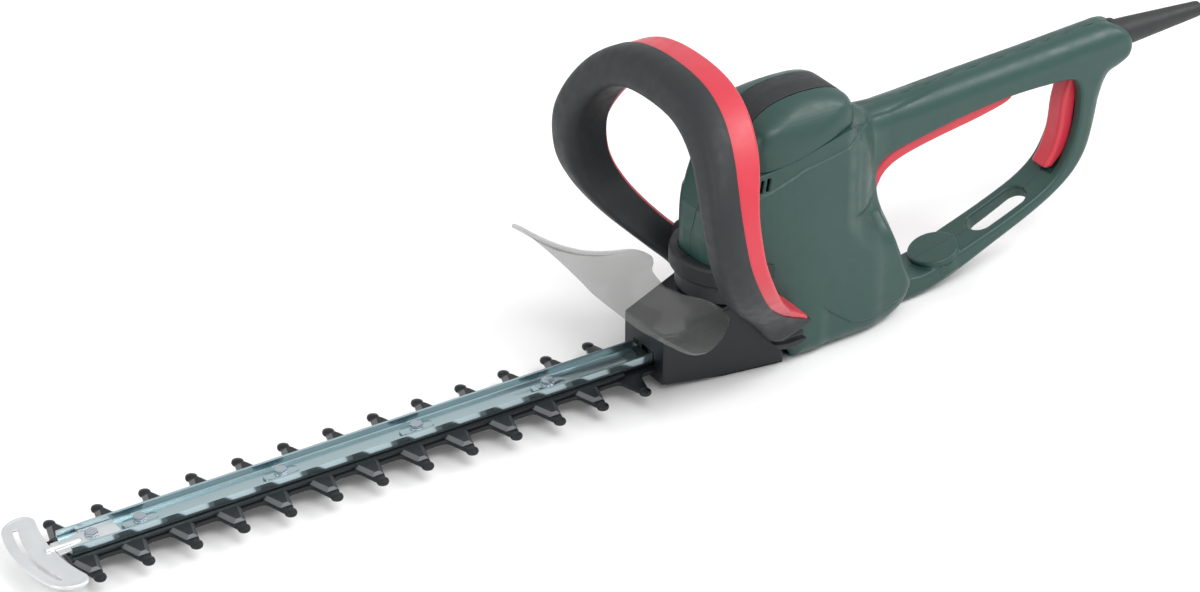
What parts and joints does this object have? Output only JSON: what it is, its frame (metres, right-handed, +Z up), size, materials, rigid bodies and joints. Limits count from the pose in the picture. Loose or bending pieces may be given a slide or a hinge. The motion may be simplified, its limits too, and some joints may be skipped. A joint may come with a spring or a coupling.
{
  "type": "hedge trimmer",
  "caption": "Mains hedge trimmer with double-sided toothed blade, closed front loop handle, clear hand guard and D-shaped rear handle.",
  "frame": {"origin": "on the flat sole of the gearbox, straight below the crank axis", "axes": "+X towards the blade tip, +Y to the user's left, +Z up"},
  "size_m": [0.974, 0.22, 0.244],
  "materials": {
    "casing_green": "satin",
    "soft_grip": "matte",
    "switch_red": "matte",
    "gearbox_black": "satin",
    "smoked_clear": "clear, smoke tinted",
    "blade_steel": "blackened, ground flanks",
    "channel_steel": "zinc plated",
    "screw_steel": "zinc plated",
    "tip_alloy": "satin",
    "gear_steel": "machined",
    "bearing_steel": "polished",
    "bronze": "machined",
    "cast_alloy": "as cast",
    "lamination": "stamped",
    "copper": "enamelled",
    "moulded_black": "matte",
    "brass": "stamped",
    "carbon": "matte",
    "felt": "matte",
    "filter_grey": "matte",
    "sleeve_rubber": "matte"
  },
  "bodies": {
    "tool": {"bail_springs": "gear_steel", "bearing_bridge": "cast_alloy", "blade_bushes": "screw_steel", "blade_screws": "screw_steel", "brush_carrier": "moulded_black", "brush_holders": "brass", "cable_clamp": "moulded_black", "cable_sleeve": "sleeve_rubber", "carbon_brushes": "carbon", "casing_left": "casing_green", "casing_right": "casing_green", "casing_screws": "screw_steel", "comb_screws": "screw_steel", "field_windings": "copper", "front_collar": "soft_grip", "front_handle": "soft_grip", "gear_bearing_lower": "bearing_steel", "gear_bearing_upper": "bearing_steel", "gearbox_base": "gearbox_black", "gearbox_cover": "gearbox_black", "grease_seal": "felt", "guide_channel": "channel_steel", "hand_guard": "smoked_clear", "hood_stripe": "soft_grip", "interference_filter": "filter_grey", "main_switch": "moulded_black", "motor_bearing_lower": "bearing_steel", "motor_bearing_upper": "bearing_steel", "motor_hood": "casing_green", "motor_top_bracket": "cast_alloy", "paddle_pin": "gear_steel", "paddle_switch": "moulded_black", "screw_plates": "channel_steel", "stator_core": "lamination", "tip_bolt": "screw_steel", "tip_guard": "tip_alloy", "tooth_comb": "blade_steel", "trigger_pin": "gear_steel", "trigger_spring": "gear_steel"},
    "armature": {"armature_shaft": "gear_steel", "motor_pinion": "gear_steel", "armature_core": "lamination", "armature_windings": "copper", "commutator": "copper", "cooling_fan": "moulded_black"},
    "crank": {"crank_gear": "gear_steel", "gear_shaft": "gear_steel"},
    "cutter": {"cutter_blade": "blade_steel"},
    "rod": {"connecting_rod": "gear_steel", "rod_bush": "bronze"},
    "front_bail": {"front_switch_bar": "switch_red"},
    "trigger": {"rear_trigger": "switch_red"},
    "paddle": {"grip_paddle": "switch_red"}
  },
  "joints": [
    {"name": "armature_spin", "type": "hinge", "parent": "tool", "child": "armature", "pos_m": [-0.0324, 0, 0.1], "axis": [0, 0, 1], "continuous": true},
    {"name": "crank_spin", "type": "hinge", "parent": "tool", "child": "crank", "pos_m": [0, 0, 0.03], "axis": [0, 0, 1], "continuous": true},
    {"name": "cutter_stroke", "type": "slide", "parent": "tool", "child": "cutter", "axis": [1, 0, 0], "range_m": [-0.018, 0]},
    {"name": "rod_swing", "type": "hinge", "parent": "cutter", "child": "rod", "pos_m": [0.055, 0, 0.0207], "axis": [0, 0, 1], "range_deg": [-11.5, 11.5]},
    {"name": "bail_squeeze", "type": "slide", "parent": "tool", "child": "front_bail", "axis": [1, 0, 0], "range_m": [0, 0.005], "stiffness_N_per_m": 600, "springref_m": -0.005},
    {"name": "trigger_squeeze", "type": "hinge", "parent": "tool", "child": "trigger", "pos_m": [-0.236, 0, 0.146], "axis": [0, -1, 0], "range_deg": [0, 3], "stiffness_Nm_per_rad": 3, "springref_deg": -4.58, "deforming": ["trigger_spring"]},
    {"name": "paddle_squeeze", "type": "hinge", "parent": "tool", "child": "paddle", "pos_m": [-0.303, 0, 0.142], "axis": [0, 1, 0], "range_deg": [0, 3.5], "stiffness_Nm_per_rad": 2, "springref_deg": -3.44}
  ],
  "couplings": [
    {"joint": "crank_spin", "follows": "armature_spin", "ratio": -0.16129}
  ]
}
